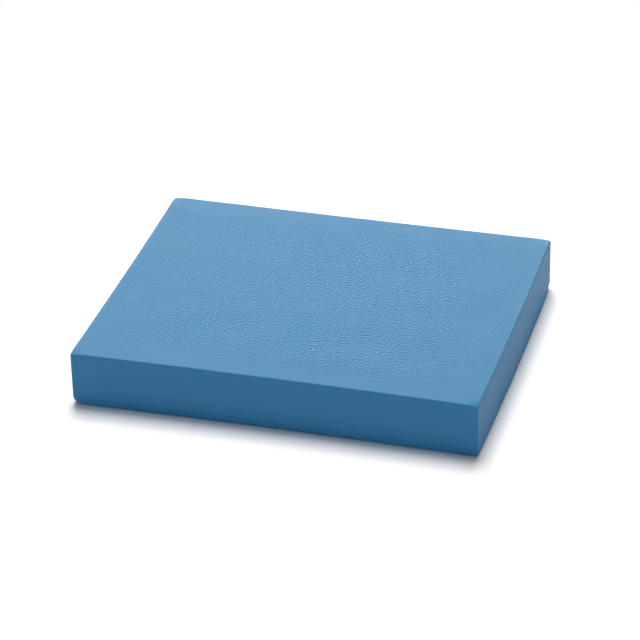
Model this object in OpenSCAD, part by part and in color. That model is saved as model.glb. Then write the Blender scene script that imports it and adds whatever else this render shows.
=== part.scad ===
// Balance pad: a slab of soft closed-cell foam in its own moulded skin.
// Origin at the middle of the underside, +X along the long side, +Z up.

/* [Slab] */
// Length of the pad, over the skin
pad_length = 500; // [300:1:700]
// Width of the pad, over the skin
pad_width = 410; // [250:1:600]
// Thickness of the pad, from the floor to the tread
pad_thickness = 70; // [40:1:110]

/* [Edges] */
// Radius of the four upright corners
corner_radius = 3; // [3:0.5:40]
// Radius of the edge round the tread
top_edge_radius = 1.5; // [1.5:0.25:2.75]
// Radius of the edge round the underside
bottom_edge_radius = 2.5; // [1.5:0.25:2.75]

/* [Skin] */
// Thickness of the skin all round the foam
skin_thickness = 1; // [0.5:0.05:1.25]
// Straight part of the side that belongs to the tread's skin, below the edge
top_turn_down = 3; // [1:0.5:8]
// Straight part of the side that belongs to the underside's skin, above the edge
bottom_turn_up = 3; // [1:0.5:8]

/* [Hidden] */
$fn = 96;
SKIN_COLOUR = [0.40, 0.61, 0.76];
FOAM_COLOUR = [0.47, 0.68, 0.82];

// Distances between the axes of the upright corners
run_x = pad_length - 2 * corner_radius;
run_y = pad_width - 2 * corner_radius;

// Heights at which the skins of the tread and the underside meet the skin of the sides
top_seam_z = pad_thickness - top_edge_radius - top_turn_down;
bottom_seam_z = bottom_edge_radius + bottom_turn_up;

// What a cutting shape reaches past the solid that it cuts
cut_spare = 1;

// What a rounding takes off a corner at the origin that points up and outwards
module rounding(radius) {
    translate([-radius, -radius])
        difference() {
            square(radius + cut_spare);
            circle(radius);
        }
}

// Section of one side, from the axis of an upright corner outwards, with both of its edges rounded
module side_section(inset) {
    reach = corner_radius - inset;
    rise = pad_thickness - 2 * inset;
    translate([0, inset])
        difference() {
            square([reach, rise]);
            translate([reach, rise])
                rounding(top_edge_radius - inset);
            translate([reach, 0])
                mirror([0, 1])
                    rounding(bottom_edge_radius - inset);
        }
}

// The pad's form, set in from the outside by the same distance all over
module slab(inset) {
    translate([-run_x / 2, -run_y / 2, inset])
        cube([run_x, run_y, pad_thickness - 2 * inset]);
    for (turn = [0 : 3]) {
        ends_of_x = turn % 2 == 0;
        out = ends_of_x ? run_x : run_y;
        along = ends_of_x ? run_y : run_x;
        rotate([0, 0, 90 * turn])
            translate([out / 2, along / 2, 0]) {
                rotate([90, 0, 0])
                    linear_extrude(along)
                        side_section(inset);
                rotate_extrude(angle = 90)
                    side_section(inset);
            }
    }
}

// The part of the skin between two heights
module skin(low, high) {
    difference() {
        intersection() {
            slab(0);
            translate([-pad_length / 2 - cut_spare, -pad_width / 2 - cut_spare, low])
                cube([pad_length + 2 * cut_spare, pad_width + 2 * cut_spare, high - low]);
        }
        slab(skin_thickness);
    }
}

// Block of soft foam that gives way underfoot
module foam_core() {
    color(FOAM_COLOUR)
        slab(skin_thickness);
}

// Skin on the floor side, turned up round its edge
module bottom_skin() {
    color(SKIN_COLOUR)
        skin(-cut_spare, bottom_seam_z);
}

// Skin round the four sides
module side_skin() {
    color(SKIN_COLOUR)
        skin(bottom_seam_z, top_seam_z);
}

// Tread that the feet stand on, turned down round its edge
module top_skin() {
    color(SKIN_COLOUR)
        skin(top_seam_z, pad_thickness + cut_spare);
}

foam_core();
bottom_skin();
side_skin();
top_skin();
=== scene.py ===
import math

import bpy
from mathutils import Matrix, Vector


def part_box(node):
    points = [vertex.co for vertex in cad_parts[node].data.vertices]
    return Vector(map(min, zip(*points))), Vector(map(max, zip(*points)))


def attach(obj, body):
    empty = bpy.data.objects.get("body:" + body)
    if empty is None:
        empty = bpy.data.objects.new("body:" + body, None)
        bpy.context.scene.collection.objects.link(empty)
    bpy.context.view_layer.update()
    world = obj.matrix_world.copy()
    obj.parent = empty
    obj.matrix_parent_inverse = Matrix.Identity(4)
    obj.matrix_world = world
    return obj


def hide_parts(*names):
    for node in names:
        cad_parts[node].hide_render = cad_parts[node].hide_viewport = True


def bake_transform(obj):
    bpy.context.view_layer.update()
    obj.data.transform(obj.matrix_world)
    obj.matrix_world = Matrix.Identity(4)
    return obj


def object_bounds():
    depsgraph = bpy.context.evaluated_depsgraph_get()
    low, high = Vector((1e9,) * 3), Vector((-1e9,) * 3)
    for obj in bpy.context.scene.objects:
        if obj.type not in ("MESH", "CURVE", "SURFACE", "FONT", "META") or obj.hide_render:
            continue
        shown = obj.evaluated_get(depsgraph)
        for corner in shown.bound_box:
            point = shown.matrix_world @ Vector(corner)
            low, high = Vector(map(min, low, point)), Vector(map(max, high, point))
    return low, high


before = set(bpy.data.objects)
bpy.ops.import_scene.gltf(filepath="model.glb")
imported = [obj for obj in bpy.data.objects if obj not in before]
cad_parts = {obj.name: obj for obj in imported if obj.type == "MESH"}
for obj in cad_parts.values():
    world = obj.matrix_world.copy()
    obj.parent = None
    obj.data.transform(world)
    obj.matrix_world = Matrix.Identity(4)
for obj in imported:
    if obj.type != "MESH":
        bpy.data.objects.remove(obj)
cad_low, cad_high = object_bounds()

# Foam core
# The block of soft closed-cell foam that gives way underfoot. It is foamed and set in the mould,
# where it grows the skin that closes it on all sides, and nothing else holds it.


class Value:
    """A socket of a node tree. Arithmetic on it adds Math nodes, and add() adds any other node."""

    def __init__(self, tree, socket=None):
        self.tree = tree
        self.socket = socket

    def add(self, kind, settings=(), sockets=(), out=0):
        node = self.tree.nodes.new(kind)
        for name, setting in dict(settings).items():
            setattr(node, name, setting)
        for place, given in dict(sockets).items():
            values = given if isinstance(given, list) else [given]
            for value in values:
                if isinstance(value, Value):
                    self.tree.links.new(value.socket, node.inputs[place])
                else:
                    node.inputs[place].default_value = value
        return Value(self.tree, node.outputs[out])

    def output(self, name):
        return Value(self.tree, self.socket.node.outputs[name])

    def math(self, operation, *others):
        return self.add("ShaderNodeMath", {"operation": operation}, enumerate((self, *others)))

    def vector(self, operation, *others):
        return self.add("ShaderNodeVectorMath", {"operation": operation}, enumerate((self, *others)))

    def scaled(self, factor):
        return self.add("ShaderNodeVectorMath", {"operation": "SCALE"}, {0: self, "Scale": factor})

    def joined(self, x=0.0, y=0.0, z=0.0):
        return self.add("ShaderNodeCombineXYZ", sockets={"X": x, "Y": y, "Z": z})

    def split(self):
        x = self.add("ShaderNodeSeparateXYZ", sockets={"Vector": self})
        return x, x.output("Y"), x.output("Z")

    def __add__(self, other):
        return self.math("ADD", other)

    def __sub__(self, other):
        return self.math("SUBTRACT", other)

    def __mul__(self, other):
        return self.math("MULTIPLY", other)

    def __truediv__(self, other):
        return self.math("DIVIDE", other)

    def __rsub__(self, other):
        return self * -1 + other

    def __rtruediv__(self, other):
        return self.math("POWER", -1) * other

    __radd__ = __add__
    __rmul__ = __mul__

    def between(self, low, high):
        return self.math("MAXIMUM", low).math("MINIMUM", high)

    def rising(self, low, high, least=0.0):
        """A smooth rise from least, where the value is low, to 1, where it is high."""
        sockets = {"Value": self, "From Min": low, "From Max": high, "To Min": least}
        return self.add("ShaderNodeMapRange", {"interpolation_type": "SMOOTHSTEP"}, sockets)

    def colour(self, at_none, at_full):
        """A colour from at_none, where the value is 0, to at_full, where it is 1."""
        # A Mix node takes its colours at inputs 6 and 7 and gives one at output 2
        sockets = {0: self, 6: at_none, 7: at_full}
        return self.add("ShaderNodeMix", {"data_type": "RGBA"}, sockets, out=2)


def geometry_tree(name, sizes):
    """A Geometry Nodes tree with a named input for each size, and the values of those inputs."""
    tree = bpy.data.node_groups.new(name, "GeometryNodeTree")
    for size in sizes:
        tree.interface.new_socket(size, in_out="INPUT", socket_type="NodeSocketFloat")
    tree.interface.new_socket("Material", in_out="INPUT", socket_type="NodeSocketMaterial")
    tree.interface.new_socket("Mesh", in_out="OUTPUT", socket_type="NodeSocketGeometry")
    group = tree.nodes.new("NodeGroupInput")
    return tree, {socket.name: Value(tree, socket) for socket in group.outputs if socket.name}


def end_tree(mesh, material):
    """Smooths a tree's mesh up to its sharp edges, gives it its material and makes it the result."""
    sharp_angle = math.radians(50)
    angle = mesh.add("GeometryNodeInputMeshEdgeAngle")
    angles = {"A": angle, "B": sharp_angle}
    smooth = angle.add("FunctionNodeCompare", {"operation": "LESS_THAN"}, angles)
    faces = {"Geometry": mesh, "Shade Smooth": True}
    mesh = mesh.add("GeometryNodeSetShadeSmooth", {"domain": "FACE"}, faces)
    edges = {"Geometry": mesh, "Shade Smooth": smooth}
    mesh = mesh.add("GeometryNodeSetShadeSmooth", {"domain": "EDGE"}, edges)
    mesh = mesh.add("GeometryNodeRealizeInstances", sockets={"Geometry": mesh})
    mesh = mesh.add("GeometryNodeSetMaterial", sockets={"Geometry": mesh, "Material": material})
    result = mesh.tree.nodes.new("NodeGroupOutput")
    mesh.tree.links.new(mesh.socket, result.inputs["Mesh"])


def form(name, tree, material, sizes):
    """A piece with the plain mesh that a Geometry Nodes tree gives for these sizes."""
    piece = bpy.data.objects.new(name, bpy.data.meshes.new(name))
    bpy.context.collection.objects.link(piece)
    modifier = piece.modifiers.new(tree.name, "NODES")
    modifier.node_group = tree
    given = {size: float(value) for size, value in sizes.items()}
    given["Material"] = material
    for socket in tree.interface.items_tree:
        if socket.name in given:
            modifier[socket.identifier] = given[socket.name]
    depsgraph = bpy.context.evaluated_depsgraph_get()
    mesh = bpy.data.meshes.new_from_object(piece.evaluated_get(depsgraph), depsgraph=depsgraph)
    piece.modifiers.clear()
    piece.data = mesh
    return piece


core_low, core_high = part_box("foam_core")
core_size = core_high - core_low
# How far the soft pad is out of true, in metres, where a bow below 0 is a hollow side
slack = {
    "Left Bow": -0.0014,
    "Right Bow": 0.0019,
    "Front Bow": -0.0028,
    "Back Bow": -0.0013,
    "Waver": 0.0006,
    "Tuck": 0.0022,
    "Droop": 0.0015,
}

foam = bpy.data.materials.new("closed_cell_foam")
foam.use_nodes = True


def closed_cells(tree):
    """Nodes of the bare foam: small closed cells with pale walls, painted shade darkening their
    hollows, and no shine.
    """
    wall_blue = (0.20, 0.43, 0.63, 1)
    hollow_painted_shade_blue = (0.09, 0.30, 0.52, 1)
    cells_per_metre = 1100.0
    wall_reach = 0.4
    hollow_depth = 0.0002
    start = Value(tree)
    place = start.add("ShaderNodeTexCoord", out="Object")
    cells = {"Vector": place, "Scale": cells_per_metre}
    from_wall = start.add("ShaderNodeTexVoronoi", {"feature": "DISTANCE_TO_EDGE"}, cells)
    # Painted shade: the colour darkens from the cell walls into the hollows
    depth = from_wall.rising(0, wall_reach)
    clouds = {"Vector": place, "Scale": 40.0, "Detail": 3.0}
    mottle = start.add("ShaderNodeTexNoise", sockets=clouds) - 0.5
    relief = {"Height": depth * -hollow_depth, "Distance": 1.0}
    shader = tree.nodes["Principled BSDF"]
    for name, value in {
        "Base Color": depth.colour(wall_blue, hollow_painted_shade_blue).scaled(1 + mottle * 0.2),
        "Roughness": 0.95 - depth * 0.1,
        "Normal": start.add("ShaderNodeBump", sockets=relief),
    }.items():
        tree.links.new(value.socket, shader.inputs[name])


closed_cells(foam.node_tree)

block_tree, block = geometry_tree(
    "Foam block", ["Length", "Width", "Thickness", "Floor", "Rounding", "Spacing", *slack]
)


def slackened(mesh, given):
    """Nodes that put a piece out of true: sides bow, faces waver, corners droop and tuck under."""
    waves_per_metre = 14.0
    flat_below = 0.002
    wavy_above = 0.02
    corner_reach = 0.022
    tuck_top = 0.009
    droop_start = 0.045
    droop_full = 0.07
    place = mesh.add("GeometryNodeInputPosition")
    x, y, z = place.split()
    along_x = x * 2 / given["Length"]
    along_y = y * 2 / given["Width"]
    at_right = given["Right Bow"] * along_x.math("MAXIMUM", 0)
    at_left = given["Left Bow"] * along_x.math("MINIMUM", 0)
    at_back = given["Back Bow"] * along_y.math("MAXIMUM", 0)
    at_front = given["Front Bow"] * along_y.math("MINIMUM", 0)
    bow_x = (at_right + at_left) * (1 - along_y * along_y)
    bow_y = (at_back + at_front) * (1 - along_x * along_x)
    waves = {"Vector": place, "Scale": waves_per_metre, "Detail": 1.0}
    waver = mesh.add("ShaderNodeTexNoise", sockets=waves, out="Color")
    waver = waver.vector("SUBTRACT", (0.5, 0.5, 0.5)).scaled(given["Waver"])
    waver = waver.vector("MULTIPLY", mesh.joined(1.0, 1.0, z.rising(flat_below, wavy_above)))
    to_corner = (given["Length"] + given["Width"]) / 2 - x.math("ABSOLUTE") - y.math("ABSOLUTE")
    nearness = (1 - to_corner / corner_reach).math("MAXIMUM", 0)
    uneven = 1 + along_x * along_y / 2
    tuck = nearness * nearness * (1 - z.rising(0, tuck_top)) * uneven * given["Tuck"]
    droop = nearness * nearness * z.rising(droop_start, droop_full) * given["Droop"]
    corner = mesh.joined(x.math("SIGN") * tuck * -1, y.math("SIGN") * tuck * -1, droop * -1)
    shift = mesh.joined(bow_x, bow_y).vector("ADD", waver).vector("ADD", corner)
    return mesh.add("GeometryNodeSetPosition", sockets={"Geometry": mesh, "Offset": shift})


def rounded_block(given):
    """Nodes for a block above the floor with all its edges rounded."""
    start = Value(block_tree)
    spans = [given["Length"], given["Width"], given["Thickness"]]
    size = start.joined(*spans)
    counts = {"Vertices " + axis: span / given["Spacing"] + 2 for axis, span in zip("XYZ", spans)}
    cube = start.add("GeometryNodeMeshCube", sockets={"Size": size, **counts})
    inner = size.scaled(0.5).vector("SUBTRACT", start.joined(*[given["Rounding"]] * 3))
    place = start.add("GeometryNodeInputPosition")
    kept = place.vector("MINIMUM", inner).vector("MAXIMUM", inner.scaled(-1))
    outwards = place.vector("SUBTRACT", kept).vector("NORMALIZE")
    bent = kept.vector("ADD", outwards.scaled(given["Rounding"]))
    rise = start.joined(z=given["Thickness"] / 2 + given["Floor"])
    sockets = {"Geometry": cube, "Position": bent, "Offset": rise}
    return cube.add("GeometryNodeSetPosition", sockets=sockets)


end_tree(slackened(rounded_block(block), block), block["Material"])
core = form("foam_core_block", block_tree, foam, {
    "Length": core_size.x,
    "Width": core_size.y,
    "Thickness": core_size.z,
    "Floor": core_low.z,
    "Rounding": 0.001,
    "Spacing": 0.004,
    **slack,
})
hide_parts("foam_core")
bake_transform(core)

# Bottom skin
# The closed skin on the floor side: denser foam that set against the mould, with the same grain
# as the tread. It turns up round its edge and runs on into the sides.

skin_material = bpy.data.materials.new("moulded_skin")
skin_material.use_nodes = True


def creases(place):
    """Nodes for the depth of the wrinkles, 0 on a ridge and 1 in a crease, at a place in pitches."""
    on_ridge = 0.2
    in_crease = 0.8
    waves = {"Vector": place, "Scale": 0.75, "Frequency": 1.4, "Anisotropy": 0.0}
    return place.add("ShaderNodeTexGabor", {"gabor_type": "2D"}, waves).rising(on_ridge, in_crease)


def moulded_skin(tree):
    """Nodes of the skin: satin, a little mottled, duller in its wrinkles, with pores, painted shade in
    its creases, painted light on its ridges and its upright sides painted brighter.
    """
    side_lit_blue = (0.036, 0.252, 0.525, 1)
    border_blue = (0.040, 0.240, 0.458, 1)
    grained_blue = (0.032, 0.242, 0.474, 1)
    satin_ior = 1.365
    satin_roughness = 0.46
    tread_polish = 0.07
    crease_dullness = 0.15
    mottle_dullness = 0.1
    painted_crease_shade = 0.115
    pore_shade = 0.06
    mottle_shade = 0.03
    wrinkle_height = 0.00022
    crack_height = 0.00005
    pore_height = 0.00003
    crack_reach = 0.35
    crack_drift = 0.006
    blue_onset = 2.4
    start = Value(tree)
    place = start.add("ShaderNodeTexCoord", out="Object")
    grain_here = start.add("ShaderNodeAttribute", {"attribute_name": "grain"}, out="Fac")
    grain_place = start.add("ShaderNodeAttribute", {"attribute_name": "grain_place"}, out="Vector")
    crease = creases(grain_place)
    clouds = {"Vector": place, "Scale": 24.0, "Detail": 4.0, "Roughness": 0.6}
    mottle = start.add("ShaderNodeTexNoise", sockets=clouds) - 0.5
    specks = {"Vector": place, "Scale": 900.0, "Detail": 2.0}
    pores = start.add("ShaderNodeTexNoise", sockets=specks)
    eddies = {"Vector": place, "Scale": 160.0, "Detail": 1.0}
    drift = start.add("ShaderNodeTexNoise", sockets=eddies, out="Color")
    drift = drift.vector("SUBTRACT", (0.5, 0.5, 0.5)).scaled(crack_drift)
    cells = {"Vector": place.vector("ADD", drift), "Scale": 360.0}
    from_crack = start.add("ShaderNodeTexVoronoi", {"feature": "DISTANCE_TO_EDGE"}, cells)
    fine = from_crack.rising(0, crack_reach)
    # Painted light: the upright sides get a brighter, deeper blue than the faces that look up or down
    _, _, facing_up = start.add("ShaderNodeTexCoord", out="Normal").split()
    facing_lit_blue = facing_up.math("ABSOLUTE").colour(side_lit_blue, border_blue)
    full_grain = grain_here.math("POWER", blue_onset)
    blue = full_grain.colour(facing_lit_blue, grained_blue)
    mottled = 1 + mottle * mottle_shade
    # Painted shade darkens the creases of the wrinkles and painted light brightens their ridges
    painted_wrinkle_shading = 1 + (0.5 - crease) * grain_here * painted_crease_shade
    pored = 1 - pore_shade / 2 + pores * pore_shade
    grain_height = fine * crack_height + (0.5 - crease) * wrinkle_height
    height = grain_height * grain_here + pores * pore_height
    roughness = satin_roughness - full_grain * tread_polish
    roughness = roughness + crease * grain_here * crease_dullness + mottle * mottle_dullness
    shader = tree.nodes["Principled BSDF"]
    shader.inputs["IOR"].default_value = satin_ior
    for name, value in {
        "Base Color": blue.scaled(mottled * painted_wrinkle_shading * pored),
        "Roughness": roughness,
        "Normal": start.add("ShaderNodeBump", sockets={"Height": height, "Distance": 1.0}),
    }.items():
        tree.links.new(value.socket, shader.inputs[name])


moulded_skin(skin_material.node_tree)

pad_size = cad_high - cad_low
side_low, side_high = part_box("side_skin")
bottom_edge = 0.0025
outline = {
    "Length": pad_size.x,
    "Width": pad_size.y,
    "Corner Radius": 0.003,
    "Skin": core_low.z - cad_low.z,
    "Columns": 324,
    "Rows": 280,
    **slack,
}
turned = ["Face", "Up", "Edge Radius", "Turn"]
# The wrinkles go from their least strength to full strength between two distances from an end
# of the face, and between two others from a long side
grain = {
    "Grain Pitch": 0.0052,
    "Grain Depth": 0.0005,
    "Ridge Height": 0.0,
    "End Least": 0.6,
    "End Start": 0.03,
    "End Full": 0.14,
    "Side Least": 0.2,
    "Side Start": 0.015,
    "Side Full": 0.06,
}


def moulded_sheet(given):
    """Nodes for a flat grid bent to one face of the pad: round corners, round edge, straight side."""
    quarter = math.pi / 2
    crowding = 0.07
    crowding_power = 12
    never_zero = 1e-9
    start = Value(given["Length"].tree)
    edge = given["Edge Radius"]
    flat_radius = given["Corner Radius"] - edge
    rim_radius = flat_radius + edge * quarter + given["Turn"]
    axis_x = given["Length"] / 2 - given["Corner Radius"]
    axis_y = given["Width"] / 2 - given["Corner Radius"]
    counts = {"Vertices X": given["Columns"], "Vertices Y": given["Rows"]}
    grid = start.add("GeometryNodeMeshGrid", sockets={"Size X": 2.0, "Size Y": 2.0, **counts})
    x, y, _ = start.add("GeometryNodeInputPosition").split()
    # The lines of the grid stand closer together towards the rim, where the sheet bends
    x = x * (1 + crowding - x.math("POWER", crowding_power) * crowding) * (axis_x + rim_radius)
    y = y * (1 + crowding - y.math("POWER", crowding_power) * crowding) * (axis_y + rim_radius)
    past_x = (x.math("ABSOLUTE") - axis_x).math("MAXIMUM", 0)
    past_y = (y.math("ABSOLUTE") - axis_y).math("MAXIMUM", 0)
    out = past_x.math("MAXIMUM", past_y)
    far = (past_x * past_x + past_y * past_y).math("SQRT").math("MAXIMUM", never_zero)
    bend = ((out - flat_radius) / edge).between(0, quarter)
    radius = out.math("MINIMUM", flat_radius) + edge * bend.math("SINE")
    straight = (out - flat_radius - edge * quarter).math("MAXIMUM", 0)
    drop = edge - edge * bend.math("COSINE") + straight
    x = (x.math("ABSOLUTE").math("MINIMUM", axis_x) + radius * past_x / far) * x.math("SIGN")
    y = (y.math("ABSOLUTE").math("MINIMUM", axis_y) + radius * past_y / far) * y.math("SIGN")
    place = start.joined(x, y, given["Face"] - given["Up"] * drop)
    return grid.add("GeometryNodeSetPosition", sockets={"Geometry": grid, "Position": place})


def grained(mesh, given):
    """Nodes that press wrinkles into a face, which grow faint towards its ends and long sides."""
    raggedness = 0.03
    rim_bare = 0.001
    rim_clear = 0.01
    place = mesh.add("GeometryNodeInputPosition")
    x, y, _ = place.split()
    from_end = given["Length"] / 2 - x.math("ABSOLUTE")
    from_side = given["Width"] / 2 - y.math("ABSOLUTE")
    patches = {"Vector": place, "Scale": 28.0, "Detail": 2.0}
    ragged = (mesh.add("ShaderNodeTexNoise", sockets=patches) - 0.5) * raggedness
    at_end = (from_end + ragged).rising(given["End Start"], given["End Full"], given["End Least"])
    at_side = (from_side + ragged).rising(given["Side Start"], given["Side Full"], given["Side Least"])
    at_rim = from_end.math("MINIMUM", from_side).rising(rim_bare, rim_clear)
    fade = at_end.math("MINIMUM", at_side) * at_rim
    grain_place = place.scaled(1 / given["Grain Pitch"])
    for name, kind, value in (("grain", "FLOAT", fade), ("grain_place", "FLOAT_VECTOR", grain_place)):
        settings = {"data_type": kind, "domain": "POINT"}
        sockets = {"Geometry": mesh, "Name": name, "Value": value}
        mesh = mesh.add("GeometryNodeStoreNamedAttribute", settings, sockets)
    height = given["Ridge Height"] - creases(grain_place) * given["Grain Depth"]
    shift = mesh.joined(z=height * fade * given["Up"])
    return mesh.add("GeometryNodeSetPosition", sockets={"Geometry": mesh, "Offset": shift})


def open_rim(mesh):
    """Nodes that pick the edges of a mesh with a face on one side only."""
    faces = mesh.add("GeometryNodeInputMeshEdgeNeighbors")
    # A Compare node takes whole numbers at inputs 2 and 3
    one_face = {2: faces, 3: 1}
    return faces.add("FunctionNodeCompare", {"data_type": "INT", "operation": "EQUAL"}, one_face)


def closed_behind(mesh, given):
    """Nodes that turn the open rim of a skin inwards and close the skin behind its face."""
    arc_steps = 4
    same_point = 1e-6
    axis_x = given["Length"] / 2 - given["Corner Radius"]
    axis_y = given["Width"] / 2 - given["Corner Radius"]
    x, y, _ = mesh.add("GeometryNodeInputPosition").split()
    inwards = mesh.joined(x.between(axis_x * -1, axis_x) - x, y.between(axis_y * -1, axis_y) - y)
    inwards = inwards.vector("NORMALIZE")
    arc = [math.pi / 2 * step / arc_steps for step in range(arc_steps + 1)]
    inner_radius = given["Edge Radius"] - given["Skin"]
    steps = [(given["Skin"], 0.0), (0.0, given["Turn"])]
    for before, after in zip(arc, arc[1:]):
        inset = inner_radius * (math.cos(before) - math.cos(after))
        rise = inner_radius * (math.sin(after) - math.sin(before))
        steps.append((inset, rise))
    rim = open_rim(mesh)
    for inset, rise in steps:
        step = inwards.scaled(inset).vector("ADD", mesh.joined(z=given["Up"] * rise))
        sockets = {"Mesh": mesh, "Selection": rim, "Offset": step, "Offset Scale": 1.0}
        mesh = mesh.add("GeometryNodeExtrudeMesh", {"mode": "EDGES"}, sockets)
        rim = mesh.output("Top")
    line = mesh.add("GeometryNodeMeshToCurve", sockets={"Mesh": mesh, "Selection": rim})
    back = line.add("GeometryNodeFillCurve", {"mode": "NGONS"}, {"Curve": line})
    back = back.add("GeometryNodeFlipFaces", sockets={"Mesh": back})
    lift = mesh.joined(z=given["Face"] - given["Up"] * given["Skin"])
    back = back.add("GeometryNodeSetPosition", sockets={"Geometry": back, "Offset": lift})
    mesh = mesh.add("GeometryNodeJoinGeometry", sockets={"Geometry": [mesh, back]})
    merging = {"Geometry": mesh, "Distance": same_point}
    mesh = mesh.add("GeometryNodeMergeByDistance", sockets=merging)
    downwards = mesh.add("FunctionNodeCompare", {"operation": "LESS_THAN"}, {"A": given["Up"]})
    return mesh.add("GeometryNodeFlipFaces", sockets={"Mesh": mesh, "Selection": downwards})


face_tree, face = geometry_tree("Grained skin", [*outline, *turned, *grain])
grained_face = closed_behind(grained(moulded_sheet(face), face), face)
end_tree(slackened(grained_face, face), face["Material"])

bottom = form("bottom_skin_grained", face_tree, skin_material, {
    **outline,
    **grain,
    "Face": cad_low.z,
    "Up": -1,
    "Edge Radius": bottom_edge,
    "Turn": side_low.z - bottom_edge,
})
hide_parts("bottom_skin")
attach(bottom, "base")

# Side skin
# The smooth closed skin round the four sides, of the same denser foam. It comes out of the mould
# in one with the two faces, and it shortens between them as the pad is pressed.

top_edge = 0.0015
top_rim = {
    "Face": cad_high.z,
    "Up": 1,
    "Edge Radius": top_edge,
    "Turn": cad_high.z - top_edge - side_high.z,
}


def side_band(given):
    """Nodes that sweep a thin upright section round the rim of the tread's skin."""
    sheet = moulded_sheet(given)
    rim = {"Mesh": sheet, "Selection": open_rim(sheet)}
    path = sheet.add("GeometryNodeMeshToCurve", sockets=rim)
    path = path.add("GeometryNodeSetCurveNormal", {"mode": "Z_UP"}, {"Curve": path})
    wall = path.add("GeometryNodeMeshGrid", sockets={
        "Size X": given["Skin"],
        "Size Y": given["Height"],
        "Vertices X": 2,
        "Vertices Y": 15,
    })
    middle = wall.joined(given["Skin"] / 2, given["Height"] / 2)
    wall = wall.add("GeometryNodeSetPosition", sockets={"Geometry": wall, "Offset": middle})
    outside = {"Mesh": wall, "Selection": open_rim(wall)}
    section = wall.add("GeometryNodeMeshToCurve", sockets=outside)
    band = path.add("GeometryNodeCurveToMesh", sockets={"Curve": path, "Profile Curve": section})
    return band.add("GeometryNodeFlipFaces", sockets={"Mesh": band})


side_tree, side = geometry_tree("Side skin", [*outline, *turned, "Height"])
end_tree(slackened(side_band(side), side), side["Material"])
band = form("side_skin_band", side_tree, skin_material, {
    **outline,
    **top_rim,
    "Height": side_high.z - side_low.z,
})
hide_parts("side_skin")
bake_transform(band)

# Top skin
# The tread that the feet stand on: the closed skin of the foam, with a leather-like grain from the
# mould that grows faint towards the rim. It turns down over its edge and runs on into the sides.

top = form("top_skin_grained", face_tree, skin_material, {
    **outline,
    **grain,
    "Ridge Height": 0.00025,
    **top_rim,
})
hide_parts("top_skin")
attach(top, "tread")

# Floor and light
# A white studio. The floor has no edge, and is a little warm near the pad and plain white further
# out. A large soft lamp hangs overhead, a long one stands far behind and a small weak one in front,
# and the walls of the room give a little even light from all round.

scene = bpy.context.scene
scene.view_settings.view_transform = "Standard"

floor_half = 12.0
floor_gap = 0.0002
floor_level = cad_low.z - floor_gap
floor_corners = [
    (-floor_half, -floor_half, floor_level),
    (floor_half, -floor_half, floor_level),
    (floor_half, floor_half, floor_level),
    (-floor_half, floor_half, floor_level),
]
floor_mesh = bpy.data.meshes.new("floor")
floor_mesh.from_pydata(floor_corners, [], [(0, 1, 2, 3)])
floor = bpy.data.objects.new("floor", floor_mesh)
scene.collection.objects.link(floor)

bounce_white = (0.95, 0.95, 0.95, 1)
warm_white = (1.37, 1.335, 1.30, 1)
warm_within = 0.45
plain_beyond = 0.9
floor_material = bpy.data.materials.new("studio_floor")
floor_material.use_nodes = True
floor_tree = floor_material.node_tree
floor_tree.nodes.clear()
studio = Value(floor_tree)
bounced = studio.add("ShaderNodeBsdfDiffuse", sockets={"Color": bounce_white})
shaded = studio.add("ShaderNodeBsdfDiffuse", sockets={"Color": warm_white})
plain = studio.add("ShaderNodeEmission", sockets={"Strength": 1.0})
from_pad = studio.add("ShaderNodeTexCoord", out="Object").vector("LENGTH").output("Value")
further_out = from_pad.rising(warm_within, plain_beyond)
seen = studio.add("ShaderNodeMixShader", sockets={0: further_out, 1: shaded, 2: plain})
camera_ray = studio.add("ShaderNodeLightPath", out="Is Camera Ray")
surface = studio.add("ShaderNodeMixShader", sockets={0: camera_ray, 1: bounced, 2: seen})
output = floor_tree.nodes.new("ShaderNodeOutputMaterial")
floor_tree.links.new(surface.socket, output.inputs["Surface"])
floor_material.cycles.emission_sampling = "NONE"
floor_mesh.materials.append(floor_material)

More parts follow.
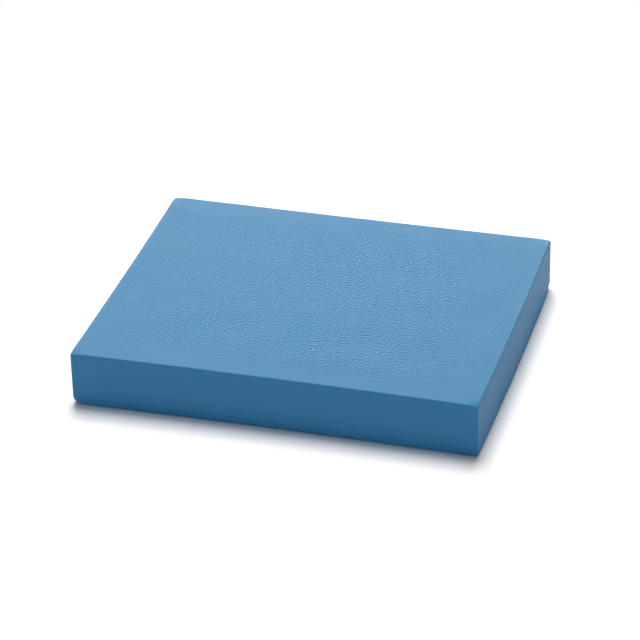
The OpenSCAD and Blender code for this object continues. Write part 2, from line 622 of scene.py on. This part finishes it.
room_light = 0.1
world = bpy.data.worlds.new("studio")
scene.world = world
world.use_nodes = True
room = Value(world.node_tree)
ray = room.add("ShaderNodeLightPath", out="Is Camera Ray")
shown = ray + ray.output("Is Glossy Ray") + ray.output("Is Transmission Ray")
strength = shown.between(0, 1) * (1 - room_light) + room_light
backdrop = world.node_tree.nodes["Background"]
backdrop.inputs["Color"].default_value = (1, 1, 1, 1)
world.node_tree.links.new(strength.socket, backdrop.inputs["Strength"])


def lamp(name, place, width, depth, watts):
    """A soft lamp at a place, facing the pad."""
    light = bpy.data.lights.new(name, "AREA")
    light.shape = "RECTANGLE"
    light.size = width
    light.size_y = depth
    light.energy = watts
    holder = bpy.data.objects.new(name, light)
    holder.location = place
    holder.rotation_euler = (Vector(place) * -1).to_track_quat("-Z", "Y").to_euler()
    scene.collection.objects.link(holder)


lamp("overhead", place=(-0.45, 1.6, 5.6), width=2.3, depth=3.0, watts=258)
lamp("back strip", place=(-2.1, 7.7, 2.5), width=6, depth=1.2, watts=208)
lamp("front fill", place=(-0.4, -3.3, 0.5), width=2.0, depth=0.4, watts=10)
# The skin takes this lamp's light without a reflection of the lamp itself
bpy.data.objects["overhead"].visible_glossy = False

# Camera
# The photograph's view: from the front, a little to the right and well above the tread, through
# a long lens, with the picture turned by about a degree.

azimuth = math.radians(16.26)
elevation = math.radians(30.42)
roll = math.radians(-1.35)
aim = Vector((0.0028, -0.0003, 0.035))
distance = 3.7505
camera_data = bpy.data.cameras.new("camera")
camera_data.sensor_width = 36
camera_data.lens = 170.81
camera = bpy.data.objects.new("camera", camera_data)
scene.collection.objects.link(camera)
scene.camera = camera
back = Vector((
    math.sin(azimuth) * math.cos(elevation),
    -math.cos(azimuth) * math.cos(elevation),
    math.sin(elevation),
))
level = Vector((math.cos(azimuth), math.sin(azimuth), 0))
upright = back.cross(level)
right = level * math.cos(roll) + upright * math.sin(roll)
upwards = upright * math.cos(roll) - level * math.sin(roll)
turn = Matrix((right, upwards, back)).transposed().to_4x4()
camera.matrix_world = Matrix.Translation(aim + back * distance) @ turn
